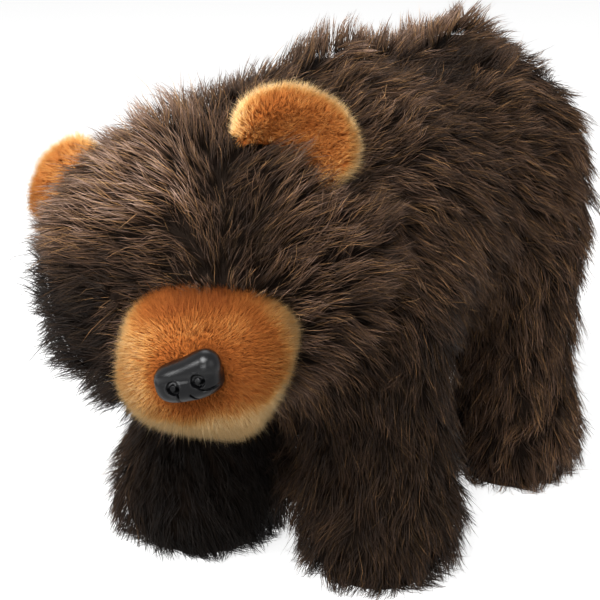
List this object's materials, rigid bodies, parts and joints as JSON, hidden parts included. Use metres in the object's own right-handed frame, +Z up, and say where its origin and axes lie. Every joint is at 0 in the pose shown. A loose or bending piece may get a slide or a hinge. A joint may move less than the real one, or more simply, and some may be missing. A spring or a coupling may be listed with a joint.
{
  "type": "plush toy bear",
  "caption": "Stuffed plush bear that stands on all fours with its head turned, in long brown pile with a tan muzzle and ears and a moulded nose.",
  "frame": {"origin": "on the floor, below the middle of the toy's box", "axes": "+Z up; the trunk faces -Y; +X is the bear's left; the head is turned to the bear's left"},
  "size_m": [0.1732, 0.3542, 0.2253],
  "materials": {
    "brown_fur": "long dark brown faux fur with paler golden tips",
    "tan_pile": "short dense tan to orange plush pile",
    "black_plastic": "satin black moulded plastic",
    "sole_cloth": "matt dark brown short-nap cloth"
  },
  "bodies": {
    "root": {"trunk": "brown_fur", "neck": "brown_fur", "head": "brown_fur", "foreleg_left": "brown_fur", "foreleg_right": "brown_fur", "hindleg_left": "brown_fur", "hindleg_right": "brown_fur", "tail": "brown_fur", "muzzle": "tan_pile", "ear_left": "tan_pile", "ear_right": "tan_pile", "nose": "black_plastic", "eye_left": "black_plastic", "eye_right": "black_plastic", "foresole_left": "sole_cloth", "foresole_right": "sole_cloth", "hindsole_left": "sole_cloth", "hindsole_right": "sole_cloth"}
  },
  "joints": []
}
